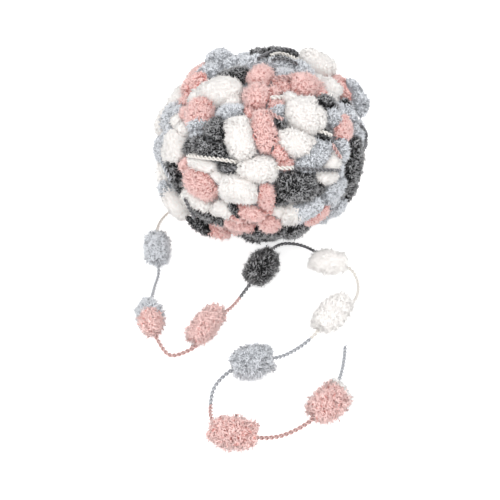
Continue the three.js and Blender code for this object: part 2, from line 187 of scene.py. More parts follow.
# Joined meshes from arrays: each heap gathers points, triangles, and what the materials read
def newHeap():
    return {"points": [], "normals": [], "faces": [], "height": [], "toneAndShade": [], "dye": [], "count": 0}


def gather(heap, points, normals, faces, height, toneAndShade, dye):
    heap["points"].append(points)
    heap["normals"].append(normals)
    heap["faces"].append(faces + heap["count"])
    heap["height"].append(height)
    heap["toneAndShade"].append(toneAndShade)
    heap["dye"].append(dye)
    heap["count"] += len(points)


def heapPiece(name, heap, materials):
    points = np.concatenate(heap["points"]).astype(np.float32)
    faces = np.concatenate(heap["faces"]).astype(np.int32)
    dye = np.concatenate(heap["dye"]).astype(np.int32)
    mesh = bpy.data.meshes.new(name)
    mesh.vertices.add(len(points))
    mesh.vertices.foreach_set("co", points.ravel())
    mesh.loops.add(len(faces) * 3)
    mesh.loops.foreach_set("vertex_index", faces.ravel())
    mesh.polygons.add(len(faces))
    mesh.polygons.foreach_set("loop_start", np.arange(0, len(faces) * 3, 3, dtype=np.int32))
    used = sorted(set(dye.tolist()))
    slots = np.zeros(len(materials), dtype=np.int32)
    slots[used] = np.arange(len(used))
    for index in used:
        mesh.materials.append(materials[index])
    mesh.polygons.foreach_set("material_index", slots[dye])
    mesh.polygons.foreach_set("use_smooth", np.ones(len(faces), dtype=bool))
    for key in ("height", "toneAndShade"):
        values = np.concatenate(heap[key]).astype(np.float32)
        mesh.attributes.new(key, "FLOAT", "POINT").data.foreach_set("value", values)
    mesh.update()
    mesh.validate()
    mesh.normals_split_custom_set_from_vertices(np.concatenate(heap["normals"]))
    piece = bpy.data.objects.new(name, mesh)
    bpy.context.collection.objects.link(piece)
    print(f"{name}: {len(faces)} triangles")
    return piece


# The loose end: its route on the floor, from inside the ball's skin to the bare end
looseEnd = {
    "diameter": 0.0022,
    "plyRadius": 0.00058,
    "plyOffset": 0.00059,
    "turn": 0.0046,
    "ringsPerTurn": 8,
    "sides": 5,
    "pathStep": 0.002,
    # how light a ply is at its outside and towards the other ply, and at its cut ends: painted shade
    "outerTone": 0.9,
    "innerDrop": 0.1,
    "endTone": 0.3,
    # where the dye changes, measured along the thread from its start
    "dyeStarts": ((0, "white"), (0.064, "light"), (0.117, "pink"), (0.1958, "dark"), (0.2724, "white"),
                  (0.3569, "light"), (0.4258, "pink"), (0.501, "light")),
}
looseRoute = (
    (-0.033, 0.007, 0.011), (-0.053, -0.001, 0.002), (-0.0583, -0.012, 0.0019),
    (-0.0569, -0.0388, 0.007), (-0.0549, -0.054, 0.0026), (-0.0562, -0.066, 0.0026),
    (-0.0558, -0.0904, 0.007), (-0.0503, -0.104, 0.0034), (-0.0443, -0.1107, 0.0016),
    (-0.036, -0.108, 0.0017), (-0.031, -0.105, 0.0038), (-0.0274, -0.0957, 0.0074),
    (-0.0155, -0.08, 0.0026), (-0.0085, -0.068, 0.0026), (0.0006, -0.0551, 0.0083),
    (0.0065, -0.037, 0.0042), (0.0135, -0.0296, 0.0018), (0.022, -0.0302, 0.0017),
    (0.03, -0.038, 0.004), (0.0366, -0.05, 0.0068), (0.0485, -0.0523, 0.0036),
    (0.0518, -0.061, 0.002), (0.0483, -0.076, 0.0038), (0.0359, -0.0878, 0.0074),
    (0.0255, -0.1, 0.0034), (0.0175, -0.1066, 0.0017), (0.009, -0.113, 0.003),
    (-0.0047, -0.1203, 0.0083), (-0.0155, -0.123, 0.0042), (-0.022, -0.1298, 0.0019),
    (-0.0236, -0.14, 0.0019), (-0.0222, -0.1505, 0.0044), (-0.013, -0.1593, 0.0076),
    (-0.003, -0.1596, 0.0042), (0.008, -0.157, 0.0019), (0.0205, -0.1513, 0.0042),
    (0.0296, -0.1433, 0.0079), (0.0368, -0.125, 0.0032), (0.0398, -0.113, 0.0016),
    (0.0411, -0.1046, 0.0013),
)


def smoothLine(route, perSpan=40):
    # centripetal Catmull-Rom through the points, as the part's own curve
    rows = np.array(route, dtype=float)
    rows = np.vstack([2 * rows[0] - rows[1], rows, 2 * rows[-1] - rows[-2]])
    u = np.linspace(0, 1, perSpan, endpoint=False)[:, None]
    spans = []
    for i in range(1, len(rows) - 2):
        a, b, c, d = rows[i - 1 : i + 3]
        before, span, after = [math.sqrt(np.linalg.norm(q - p)) for p, q in ((a, b), (b, c), (c, d))]
        leave = ((b - a) / before - (c - a) / (before + span) + (c - b) / span) * span
        arrive = ((c - b) / span - (d - b) / (span + after) + (d - c) / after) * span
        spans.append((2 * u**3 - 3 * u**2 + 1) * b + (u**3 - 2 * u**2 + u) * leave
                     + (3 * u**2 - 2 * u**3) * c + (u**3 - u**2) * arrive)
    return np.vstack([*spans, rows[-2:-1]])


def evenLine(line, step):
    # the same line with its points evenly apart, and their distance along it
    lengths = np.concatenate([[0], np.cumsum(np.linalg.norm(np.diff(line, axis=0), axis=1))])
    count = max(2, int(round(lengths[-1] / step)))
    along = np.linspace(0, lengths[-1], count + 1)
    return np.stack([np.interp(along, lengths, line[:, k]) for k in range(3)], axis=1), along


def lineFrames(line):
    # a way along, and two ways across that turn as little as they can
    way = unit(np.gradient(line, axis=0))
    side = np.zeros_like(way)
    start = np.cross(way[0], (0, 0, 1))
    side[0] = unit(start if np.linalg.norm(start) > 1e-6 else np.array([1.0, 0, 0]))
    for i in range(1, len(way)):
        side[i] = unit(side[i - 1] - way[i] * side[i - 1].dot(way[i]))
    return way, side, np.cross(way, side)


def addThread(heap, line, dyeAt, phase=0.0):
    # two plies twisted round the line; each swells where it comes to the outside
    step = looseEnd["turn"] / looseEnd["ringsPerTurn"]
    centres, along = evenLine(line, step)
    way, side, rise = lineFrames(centres)
    sides = looseEnd["sides"]
    corner = np.arange(sides) * 2 * math.pi / sides
    dye = np.array([dyeNames.index(dyeAt(s)) for s in along])
    for ply in (0, math.pi):
        turn = (2 * math.pi * along / looseEnd["turn"] + ply + phase)[:, None]
        out = side * np.cos(turn) + rise * np.sin(turn)
        across = np.cross(way, out)
        middle = centres + out * looseEnd["plyOffset"]
        ring = (out[:, None] * np.cos(corner)[None, :, None]
                + across[:, None] * np.sin(corner)[None, :, None])
        points = middle[:, None] + ring * looseEnd["plyRadius"]
        # painted shade: lightest where a ply faces out, darker towards the other ply
        outward = np.broadcast_to(np.cos(corner), (len(centres), sides))
        height = np.clip(looseEnd["outerTone"] * outward - looseEnd["innerDrop"], 0, 1)
        count = len(centres)
        index = np.arange(count * sides).reshape(count, sides)
        here, there = index[:-1], index[1:]
        nextHere, nextThere = np.roll(here, -1, axis=1), np.roll(there, -1, axis=1)
        walls = np.concatenate([np.stack([here, nextHere, nextThere], -1).reshape(-1, 3),
                                np.stack([here, nextThere, there], -1).reshape(-1, 3)])
        wallDye = np.tile(np.repeat(dye[:-1], sides), 2)
        ends = [count * sides, count * sides + 1]
        caps = np.array([(ends[0], (k + 1) % sides, k) for k in range(sides)]
                        + [(ends[1], index[-1, k], index[-1, (k + 1) % sides]) for k in range(sides)])
        allPoints = np.vstack([points.reshape(-1, 3), middle[:1], middle[-1:]])
        allHeight = np.concatenate([height.ravel(), [looseEnd["endTone"]] * 2])
        capDye = np.repeat([dye[0], dye[-1]], sides)
        allNormals = np.vstack([ring.reshape(-1, 3), -way[:1], way[-1:]])
        gather(heap, allPoints, allNormals, np.concatenate([walls, caps]), allHeight,
               np.zeros(len(allPoints)), np.concatenate([wallDye, capDye]))


def looseDyeAt(distance):
    return [name for start, name in looseEnd["dyeStarts"] if distance >= start][-1]


looseLine = smoothLine(looseRoute)
looseHeap = newHeap()
addThread(looseHeap, looseLine, looseDyeAt)
looseEndPiece = heapPiece("looseEndThread", looseHeap, threadMaterials)
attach(looseEndPiece, "root")
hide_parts("loose_end")


# Locks and fibres of the pile: closed spindles and spikes with three sides each. Sizes are in
# millimetres, but a lock's radius is a share of the spacing between locks. A tone is how light a
# place is, from 0 at the root to 1 at the end: painted shade, darkest low in the pile
lock = {"length": 3.0, "lengthRange": (0.9, 1.1), "radius": 0.5, "radiusRange": (0.8, 1.15),
        "proudThinner": 0.35, "bellyAt": 0.72, "bellyTone": 0.42, "toneRange": 0.15, "bend": 0.25}
# fibres stand out past the locks: their tones are painted light, mid at the foot, light at the tip and a
# little lighter overall
fibres = {"foot": 1.0, "thick": 0.26, "stray": 0.5, "shortest": 0.3, "footTone": 0.6, "lighter": 0.1}
lookDown = math.radians(view["lookDown"])
upWay = np.array([0, math.sin(lookDown), math.cos(lookDown)])
towardsView = np.array([0, -math.cos(lookDown), math.sin(lookDown)])


def acrossWays(way, turn):
    other = np.where(np.abs(way[:, 2:3]) < 0.9, [[0.0, 0.0, 1.0]], [[1.0, 0.0, 0.0]])
    one = unit(np.cross(other, way))
    two = np.cross(way, one)
    c, s = np.cos(turn)[:, None], np.sin(turn)[:, None]
    return one * c + two * s, two * c - one * s


def threeSides(way, turn):
    one, two = acrossWays(way, turn)
    return [one * math.cos(k * 2 * math.pi / 3) + two * math.sin(k * 2 * math.pi / 3) for k in range(3)]


def addLocks(heap, ends, way, length, radius, bend, soft, softness, toneAndShade, dye, turn, floor):
    # a pointed root, a three-sided belly and a pointed end: 6 triangles. The normals lean towards
    # the pompom's own, soft, because light spreads through the pile
    base = ends - way * length[:, None]
    middle = base + way * (length * lock["bellyAt"])[:, None] + bend
    rows, normals = [base], [way]
    for side in threeSides(way, turn):
        rows.append(middle + side * radius[:, None])
        normals.append(side)
    rows.append(ends)
    normals.append(way)
    points = np.stack(rows, axis=1)
    points[:, :, 2] = np.maximum(points[:, :, 2], floor)
    blend = unit(np.stack(normals, axis=1) * (1 - softness) + soft[:, None] * softness)
    shape = np.array([(0, 2, 1), (0, 3, 2), (0, 1, 3), (4, 1, 2), (4, 2, 3), (4, 3, 1)])
    faces = (shape[None] + 5 * np.arange(len(ends))[:, None, None]).reshape(-1, 3)
    # painted shade: dark at the root, mid at the belly, light at the end
    belly = lock["bellyTone"]
    heights = np.tile([0.0, belly, belly, belly, 1.0], (len(ends), 1))
    gather(heap, points.reshape(-1, 3), blend.reshape(-1, 3), faces, heights.ravel(), np.repeat(toneAndShade, 5),
           np.repeat(dye, 6))


def addFibres(heap, base, ends, soft, toneAndShade, dye, turn, floor):
    # a thin spike on a three-sided foot: 4 triangles
    way = unit(ends - base)
    rows = [base + side * fibres["thick"] * mm for side in threeSides(way, turn)] + [ends]
    points = np.stack(rows, axis=1)
    points[:, :, 2] = np.maximum(points[:, :, 2], floor)
    shape = np.array([(0, 2, 1), (3, 0, 1), (3, 1, 2), (3, 2, 0)])
    faces = (shape[None] + 4 * np.arange(len(ends))[:, None, None]).reshape(-1, 3)
    # painted light and shade along the fibre: mid at the foot, light at the tip
    foot = fibres["footTone"]
    heights = np.tile([foot, foot, foot, 1.0], (len(ends), 1))
    gather(heap, points.reshape(-1, 3), np.repeat(soft, 4, axis=0), faces, heights.ravel(),
           np.repeat(toneAndShade, 4), np.repeat(dye, 4))


def spiralWays(count):
    # even directions all round
    i = np.arange(count) + 0.5
    height = 1 - 2 * i / count
    ring = np.sqrt(1 - height**2)
    angle = i * math.pi * (3 - math.sqrt(5))
    return np.stack([ring * np.cos(angle), ring * np.sin(angle), height], axis=1)


bpy.ops.object.select_all(action="DESELECT")
bpy.ops.mesh.primitive_ico_sphere_add(subdivisions=2, radius=1)
roundBody = bpy.context.object
bodyWays = np.array([v.co[:] for v in roundBody.data.vertices])
bodyFaces = np.array([p.vertices[:] for p in roundBody.data.polygons])
bpy.data.objects.remove(roundBody)


# What all pompoms share, in millimetres and shares
pompomForm = {
    "lumpPitches": (3.1, 4.7, 7.3),
    "dimpleFrom": 0.86, "dimpleRun": 0.14,  # shares of the half length
    "areaPower": 1.6,  # gives an ellipsoid's area to about 1 in 100
    "tries": 1.6,  # places tried for each lock, as the thinning by stretch drops some
    "locksPerSpacing": 1.15, "wander": 0.3,
    "fewestClumps": 6, "clumpWander": 0.35, "clumpReach": 0.62, "farthest": 1.1,
    "leastProud": 0.2, "grooveSpare": 1.2,
    "underFloor": 2.5,  # locks that end deeper than this under the floor are left out
    "splitWander": 0.05,
    # the body's tone is painted shade, close to the dark root colour
    "bodyOffFloor": 0.2, "bodyTone": 0.1,
}


def pompomSurface(ways, half, character, lumpSeed, lobes):
    # the outside of a pompom in its own frame: a barrel with shallow lumps, drawn in at its two
    # ends, and lobes that stand out (or notches that go in) round their aim
    draws = np.random.default_rng(lumpSeed)
    x, y, z = np.abs(ways).T
    power = character["barrel"]
    barrel = (x**power + (y * y + z * z) ** (power / 2)) ** (-1 / power)
    lump = np.zeros(len(ways))
    for pitch in pompomForm["lumpPitches"]:
        aim = unit(draws.normal(size=3))
        lump += np.sin(pitch * ways @ aim + draws.uniform(0, 2 * math.pi)) / 3
    endShare = np.clip((x - pompomForm["dimpleFrom"]) / pompomForm["dimpleRun"], 0, 1)
    dimple = 1 - character["dimple"] * endShare**2
    reach = barrel * dimple * (1 + character["lumps"] * lump)
    for aim, rise, width in lobes:
        off = np.arccos(np.clip(unit(ways * half) @ aim, -1, 1)) / math.radians(width)
        reach *= 1 + rise * np.exp(-0.5 * off**2)
    return ways * half * reach[:, None]


def growPompom(heaps, row, character, draws, crowding, floor):
    # row: middle, turned axes (3 rows) and half sizes in millimetres, seed, dye, the dye of one end
    # and the share of the half length where it starts, and for some lobes, cup and coarse
    middle, axes, half = row["middle"], row["axes"], row["half"]
    form = pompomForm
    power = form["areaPower"]
    area = 4 * math.pi * (((half[0] * half[1]) ** power + (half[0] * half[2]) ** power
                           + (half[1] * half[2]) ** power) / 3) ** (1 / power)
    smallest = min(half)
    lobes = row.get("lobes", ())
    spacing = character["spread"] * row.get("coarse", 1)
    ways = spiralWays(int(form["tries"] * area * form["locksPerSpacing"] / spacing**2))
    stretch = np.linalg.norm(ways / half, axis=1) * smallest
    ways = ways[draws.uniform(size=len(ways)) < stretch]
    ways = unit(ways + draws.normal(scale=form["wander"] * spacing / half.mean(), size=ways.shape))
    outer = pompomSurface(ways, half, character, row["seed"], lobes)
    normal = unit(outer / half**2)

    # neighbouring locks curl together into small clumps with creases between them, which painted shade
    # darkens, and the clumps stand in faint rings across the pompom's length
    clumps = spiralWays(max(form["fewestClumps"], int(area / character["clump"] ** 2)))
    clumpWander = form["clumpWander"] * character["clump"] / half.mean()
    clumps = unit(clumps + draws.normal(scale=clumpWander, size=clumps.shape))
    clumpPlaces = pompomSurface(clumps, half, character, row["seed"], lobes)
    gaps = np.linalg.norm(outer[:, None] - clumpPlaces[None], axis=2)
    nearest = gaps.argmin(axis=1)
    off = gaps[np.arange(len(gaps)), nearest] / (form["clumpReach"] * character["clump"])
    off = np.clip(off, 0, form["farthest"])
    drop = character["inset"] + character["groove"] * off**2 + draws.uniform(0, character["ragged"], len(off))
    drop += character["rib"] * (0.5 + 0.5 * np.cos(outer[:, 0] * 2 * math.pi / character["ribPitch"]))
    proud = draws.uniform(size=len(off)) < character["proud"]
    drop -= proud * draws.uniform(form["leastProud"], 1, len(off)) * character["proudBy"]
    deepest = (character["inset"] + character["groove"] * form["grooveSpare"] + character["ragged"]
               + character["rib"])
    away = outer - clumpPlaces[nearest]
    lean = normal + character["splay"] * away / character["clump"]
    lean = unit(lean + draws.normal(scale=character["stray"], size=lean.shape))

    soft = normal @ axes
    ends = (outer - normal * drop[:, None]) @ axes + middle
    way = unit(lean @ axes)
    covered, closeness = crowding(ends, soft)
    keep = ~covered & (ends[:, 2] > floor - form["underFloor"])
    ends, way, drop, outer, soft, proud, closeness = (
        rows[keep] for rows in (ends, way, drop, outer, soft, proud, closeness))
    count = len(ends)
    if not count:
        return
    along = outer[:, 0] / half[0] + draws.normal(scale=form["splitWander"], size=count)
    along -= row.get("cup", 0) * np.clip(soft @ towardsView, 0, 1)
    first = dyeNames.index(row["dye"])
    dye = np.full(count, first)
    if row["endDye"]:
        dye[along > row["split"]] = dyeNames.index(row["endDye"])
    # a random tone, with painted shade on the deep locks and on those crowded by another pompom
    toneAndShade = draws.uniform(-lock["toneRange"], lock["toneRange"], count) - character["shade"] * drop / deepest
    toneAndShade -= character["creaseShade"] * closeness
    length = draws.uniform(*lock["lengthRange"], count) * lock["length"]
    radius = draws.uniform(*lock["radiusRange"], count) * lock["radius"] * spacing
    radius *= 1 - lock["proudThinner"] * proud
    bend = np.cross(way, draws.normal(size=(count, 3))) * lock["bend"]
    turn = draws.uniform(0, math.pi, count)
    softness = character["softness"]
    for index in set(dye.tolist()):
        mine = dye == index
        addLocks(heaps[dyeNames[index]], ends[mine] * mm, way[mine], length[mine] * mm, radius[mine] * mm,
                 bend[mine] * mm, soft[mine], softness, toneAndShade[mine], dye[mine], turn[mine], floor * mm)

    # single fibres that stand out past the locks
    picked = np.repeat(np.arange(count), int(character["fibres"]))
    picked = np.concatenate([picked, np.flatnonzero(draws.uniform(size=count) < character["fibres"] % 1)])
    fineWay = unit(way[picked] + draws.normal(scale=fibres["stray"], size=(len(picked), 3)))
    reach = character["fringe"] * draws.uniform(fibres["shortest"], 1, len(picked))
    tops = ends[picked] + fineWay * reach[:, None]
    feet = ends[picked] - fineWay * fibres["foot"]
    for index in set(dye.tolist()):
        mine = dye[picked] == index
        some = picked[mine]
        addFibres(heaps[dyeNames[index]], feet[mine] * mm, tops[mine] * mm, soft[some],
                  toneAndShade[some] + fibres["lighter"], dye[some], turn[some], floor * mm)

    # the body that the locks stand on, in a dark tone: painted shade under the pile
    inner = pompomSurface(bodyWays, half, character, row["seed"], lobes)
    inner *= 1 - (deepest + character["bodyDepth"]) / smallest
    bodyPoints = inner @ axes + middle
    bodyPoints[:, 2] = np.maximum(bodyPoints[:, 2], floor + form["bodyOffFloor"])
    faceAlong = inner[bodyFaces].mean(axis=1)[:, 0] / half[0]
    faceDye = np.full(len(bodyFaces), first)
    if row["endDye"]:
        faceDye[faceAlong > row["split"]] = dyeNames.index(row["endDye"])
    gather(heaps[row["dye"]], bodyPoints * mm, unit(inner / half**2) @ axes, bodyFaces,
           np.full(len(bodyPoints), form["bodyTone"]), np.zeros(len(bodyPoints)), faceDye)


# How the pile lies, in millimetres and shares. Locks a spread apart gather in clumps, with a groove
# round each, ragged ends, faint ribs and some proud locks. They splay away from the middle of their
# clump and stray at random. Painted shade darkens the deep ones (shade) and those next to another
# pompom (the crease shade). Softness is how far light spreads through the pile
looseCharacter = {
    "white": {"lumps": 0.1, "dimple": 0.2, "clump": 2.6, "inset": 0.8, "groove": 0.45, "ragged": 0.9,
              "rib": 0.0, "ribPitch": 3.2, "splay": 0.4, "stray": 0.4, "spread": 0.97, "softness": 0.5,
              "shade": 0.1, "creaseShade": 0.0, "fibres": 2.2, "fringe": 2.4, "proud": 0.22, "proudBy": 1.5,
              "bodyDepth": 1.0},
    "other": {"lumps": 0.06, "dimple": 0.2, "clump": 2.4, "inset": 0.7, "groove": 0.9, "ragged": 1.6,
              "rib": 0.0, "ribPitch": 3.2, "splay": 0.55, "stray": 0.42, "spread": 0.95, "softness": 0.4,
              "shade": 0.7, "creaseShade": 0.0, "fibres": 1.8, "fringe": 2.0, "proud": 0.2, "proudBy": 1.6,
              "bodyDepth": 1.0},
}
# Loose pompoms: the route point at their middle, the turn of their length on the floor in
# degrees, length and width in millimetres, how square the ends are, dye, and for some the dye of the
# far end, where it starts, how far that bends towards the camera, and more or less shade. Lobes:
# degrees round the outline that the camera sees, from the right, rise as a share, half width in degrees
loosePompoms = (
    {"at": 3, "turn": 98, "long": 23.5, "wide": 16, "barrel": 3.2, "dye": "light", "deeper": -0.15,
     "lobes": ((92, -0.14, 10), (45, 0.06, 16), (135, 0.08, 16), (228, 0.06, 16), (315, 0.06, 16))},
    {"at": 6, "turn": 104, "long": 25.5, "wide": 15.5, "barrel": 2.1, "dye": "pink", "endDye": "light",
     "split": -0.3, "cup": 0.5, "lobes": ((15, 0.08, 20), (160, 0.05, 20), (235, -0.08, 22))},
    {"at": 11, "turn": 60, "long": 25.5, "wide": 15, "barrel": 3.2, "dye": "pink", "deeper": -0.35,
     "lobes": ((212, 0.14, 16), (35, 0.07, 16), (300, 0.05, 20))},
    {"at": 14, "turn": 56, "long": 24.5, "wide": 18, "barrel": 2.4, "dye": "dark", "deeper": 0.4,
     "lobes": ((68, 0.06, 9), (197, 0.13, 11), (165, -0.05, 14))},
    {"at": 19, "turn": -8, "long": 22, "wide": 14, "barrel": 2.3, "dye": "bright",
     "lobes": ((190, 0.12, 14), (60, 0.06, 20))},
    {"at": 23, "turn": 55, "long": 27, "wide": 15.2, "barrel": 2.5, "dye": "bright",
     "lobes": ((30, 0.08, 16), (115, -0.06, 20), (205, 0.08, 18))},
    {"at": 27, "turn": 18, "long": 23, "wide": 18, "barrel": 2.3, "dye": "light", "deeper": 0.3,
     "lobes": ((38, 0.13, 13), (6, -0.09, 10), (336, 0.12, 11))},
    {"at": 32, "turn": -8, "long": 24, "wide": 16.5, "barrel": 2.2, "dye": "pink", "deeper": 0.2,
     "lobes": ((27, 0.2, 9), (46, -0.07, 11), (180, 0.1, 12))},
    {"at": 36, "turn": 44, "long": 24, "wide": 17.5, "barrel": 2.2, "dye": "pink", "endDye": "white",
     "split": 0.4, "cup": 0.6, "deeper": 0.1,
     "lobes": ((84, 0.24, 13), (128, -0.1, 18), (195, 0.1, 16), (352, 0.14, 16), (40, -0.08, 14))},
)
looseSeeds = {"lumps": 70, "locks": 300}
looseOffFloor = 0.15  # the lowest that their pile lies


def nothingNear(ends, normal):
    # the crowding of a pompom that lies by itself
    return np.zeros(len(ends), dtype=bool), np.zeros(len(ends))


for number, row in enumerate(loosePompoms, start=1):
    angle = math.radians(row["turn"])
    axes = np.array([(math.cos(angle), math.sin(angle), 0), (-math.sin(angle), math.cos(angle), 0),
                     (0, 0, 1)])
    half = np.array([row["long"] / 2, row["wide"] / 2, row["wide"] / 2])
    lobes = []
    for around, rise, width in row["lobes"]:
        across, up = math.cos(math.radians(around)), math.sin(math.radians(around))
        lobes.append((axes @ (np.array([across, 0, 0]) + upWay * up), rise, width))
    body = {"middle": np.array(looseRoute[row["at"]]) / mm, "axes": axes, "half": half,
            "seed": looseSeeds["lumps"] + number, "dye": row["dye"], "endDye": row.get("endDye"),
            "split": row.get("split", 0), "cup": row.get("cup", 0), "lobes": lobes}
    heap = newHeap()
    heaps = {name: heap for name in dyeNames}
    character = dict(looseCharacter["white" if row["dye"] == "bright" else "other"], barrel=row["barrel"])
    character["shade"] += row.get("deeper", 0)
    growPompom(heaps, body, character, np.random.default_rng(looseSeeds["locks"] + number), nothingNear,
               looseOffFloor)
    piece = heapPiece(f"loosePompom{number}", heap, pileMaterials)
    node = f"pompom_{number}"
    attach(piece, "root")
    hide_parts(node)

print("loose pompoms grown")

# The ball: pompoms crowd a squat ellipsoid. Lengths are in millimetres
ball = {
    "halfWidth": 58.5, "halfHeight": 48.5, "centreHeight": 47, "coreDepth": 8, "thick": 0.47,
    "offFloor": 0.2, "seed": 1000,
    # pompoms that fill the back and underside, where the flat spot presses them in
    "fillCount": 190, "fillSpacing": 11.5, "fillLong": 22, "fillWide": 17, "fillFacing": 0.25,
    "fillStart": 0.4, "fillStep": 1.2, "fillSwing": 0.16, "fillSmallest": 0.85, "fillGrowth": 0.3,
    "fillLift": 2.5, "fillTwoDyed": 0.25, "fillSplit": 0.3, "fillCoarse": 1.35,
    "pressed": 4, "pressedBelow": 0.5, "dyeRun": 17,
    "fillShares": ((0.35, "white"), (0.6, "pink"), (0.82, "dark"), (2, "light")),  # running totals
    # small ones in the chinks
    "chinkDepth": 6.5, "chinkLong": 12, "chinkWide": 9.5, "chinkApart": 6, "chinkTries": 1400,
    # how pompoms crowd each other, and how near another pompom the painted crease shade reaches
    "reach": 36, "facesIn": -0.25, "coveredTo": 0.93, "creaseTo": 1.25, "creaseRun": 0.3,
}
# Pompoms that the camera sees: place across and up in the plane through the ball's centre that the
# camera faces, length, width, turn in degrees, lift of the crest, dye, and for some the dye of one
# end and where it starts
frontPompoms = (
    (-22.4, 46.8, 17, 17, 60, 3, "light"),
    (-33, 39, 18, 14, 20, 0, "pink"),
    (-38, 31, 16, 12, 60, -1.5, "pink"),
    (-22, 29.5, 26, 18, -8, 2.5, "white"),
    (-33, 17, 22, 18, -80, 2, "pink", "light", 0.6),
    (-44, 26, 18, 14, 20, 0, "white"),
    (-48, 16, 18, 16, -60, 0.5, "light"),
    (-52, 14, 18, 14, 80, 0, "white"),
    (-8, 46, 18, 15, 0, 0, "light"),
    (-13.5, 38, 17, 14, 20, 1, "dark"),
    (1, 49, 17, 14, 30, 0.5, "dark", "light", 0.3),
    (10.5, 50, 21, 13, -3, 1, "dark"),
    (11.5, 45, 17, 11, 0, 1, "light"),
    (0, 38, 18, 15, 70, 2, "pink"),
    (-2, 26.5, 18, 16, -80, 1.5, "pink"),
    (11, 33, 14, 12, -40, -1.5, "pink"),
    (22.5, 33, 20, 18, 30, 2, "pink"),
    (8.5, 22, 14, 11, -75, 0, "pink", "light", 0.2),
    (-16, 18, 16, 13, 0, 0, "light"),
    (31.5, 45.6, 24, 16, -15, 0, "white"),
    (45, 31, 22, 15, -55, 1.5, "pink"),
    (50.5, 32, 15, 12, -30, 0, "light"),
    (53.5, 26.5, 17, 13, -70, 0.5, "light"),
    (38, 32, 15, 13, -60, 1, "white"),
    (36.5, 23, 14, 12, -10, 0.5, "dark"),
    (40, 16, 14, 11, -70, 0.5, "light"),
    (24, 16, 24, 20, -35, 3.5, "white"),
    (54, 22, 14, 12, -60, -0.5, "light"),
    (-11, 4, 25, 17, -75, 3, "white"),
    (2, 8.5, 25, 15, -82, 2.5, "pink"),
    (19.5, 1.5, 23, 16, -15, 1.5, "white"),
    (-46, 0, 19, 16, -80, 1.5, "white"),
    (-53.5, -1.5, 18, 13, -70, 0.5, "light"),
    (-23.5, 8, 16, 15, -60, 1.5, "dark"),
    (-28, -1, 25, 13, -22, 1, "dark"),
    (-31, -9.5, 19, 12, -10, -0.5, "white"),
    (-46.5, -13.5, 17, 13, -45, 0, "dark"),
    (-32, -20, 22, 18, -30, 2.5, "pink"),
    (-2, -12.5, 22, 15, 0, 2, "white"),
    (29, -4.5, 25, 15, 35, 1.5, "light"),
    (39, -8.5, 13, 11, 60, 1, "white"),
    (36.5, -16, 15, 10, 0, 0.5, "white"),
    (45, 10, 17, 13, 60, 2, "pink"),
    (44.5, -1.5, 15, 11, -80, 0.5, "light"),
    (50, -7, 28, 15.5, -85, 1.5, "dark"),
    (53.5, 8, 17, 11, -75, 0, "light"),
    (-50, -25.5, 18, 13, -80, -0.5, "light"),
    (-46.5, -30.5, 22, 15, -60, 1, "white"),
    (-34, -28.5, 19, 12, -20, 0.5, "white"),
    (-31.5, -34, 16, 12, -15, 0.5, "dark"),
    (-31, -42, 18, 14, -10, 1.5, "dark"),
    (-25.5, -43.8, 22, 13, 5, 0, "pink"),
    (-11.5, -23, 22, 17, -10, 3, "white"),
    (-19.5, -34, 14, 11, -10, 0.5, "white"),
    (3, -27, 17, 12, -85, 1, "pink"),
    (-5, -36, 17, 11, -22, 2, "pink"),
    (5, -41.5, 14, 13, -60, 2, "pink"),
    (-11, -42.5, 18, 11, 0, 0, "pink"),
    (3.5, -45.5, 24, 12.5, -5, 1, "dark"),
    (18.5, -44, 19, 14, 5, 1.5, "dark"),
    (23, -34, 26, 14, 10, 1.5, "white", "light", -0.33),
    (19.5, -21.5, 23, 19, -10, 2.5, "dark"),
    (39, -24.5, 18, 13, 30, 1, "light"),
    (48, -23.5, 15, 12, 25, 0, "dark"),
    (42, -32.5, 15, 12, 20, 0, "light"),
    (31, -37.3, 17.5, 10.5, 38, 2.5, "pink"),
)
# pompoms that only peep out between the others
smallPompoms = (
    (13, 40, 12, 10, 0, -1, "light"),
    (47, 21.5, 12, 10, -60, -0.5, "dark"),
    (11, 13, 8, 7, -20, 1.5, "dark"),
    (-18, -10.5, 12, 9, 0, -1, "dark"),
    (10, -3, 13, 9, -45, -0.5, "pink"),
    (35, 4, 11, 9, -20, 0, "dark"),
    (-36.5, -41, 12, 8, -30, -0.5, "dark", "light", 0.2),
    (-13.5, -37, 13, 10, -50, 0, "pink"),
    (-14, -34.5, 11, 7, -75, 1, "dark"),
)
ballCentre = np.array([0, 0, ball["centreHeight"]])
ballHalf = np.array([ball["halfWidth"], ball["halfWidth"], ball["halfHeight"]])


def ballPoint(way):
    return way / np.linalg.norm(way / ballHalf, axis=-1, keepdims=True)


def seenPlace(across, up, half):
    # where the view through a place in the facing plane meets an ellipsoid round the ball's centre,
    # or passes closest to it
    start = (np.array(view["place"]) / mm - ballCentre) / half
    along = (np.array([across, 0, 0]) + upWay * up) / half - start
    nearest = start - along * start.dot(along) / along.dot(along)
    spare = max(0, 1 - nearest.dot(nearest))
    return (nearest - along * math.sqrt(spare / along.dot(along))) * half


def seat(middle, heading, long, wide, dye, endDye=None, split=0):
    out = unit(middle / ballHalf**2)
    along = unit(heading - out * heading.dot(out))
    axes = np.array([along, np.cross(out, along), out])
    half = np.array([long / 2, wide / 2, ball["thick"] * wide])
    return {"middle": ballCentre + middle, "point": middle + out * half[2], "axes": axes, "half": half,
            "dye": dye, "endDye": endDye, "split": split}


def frontSeat(row):
    across, up, long, wide, turn, lift = row[:6]
    turn = math.radians(turn)
    heading = np.array([math.cos(turn), 0, 0]) + upWay * math.sin(turn)
    inset = ball["thick"] * wide - lift
    return seat(seenPlace(across, up, ballHalf - inset), heading, long, wide, *row[6:])


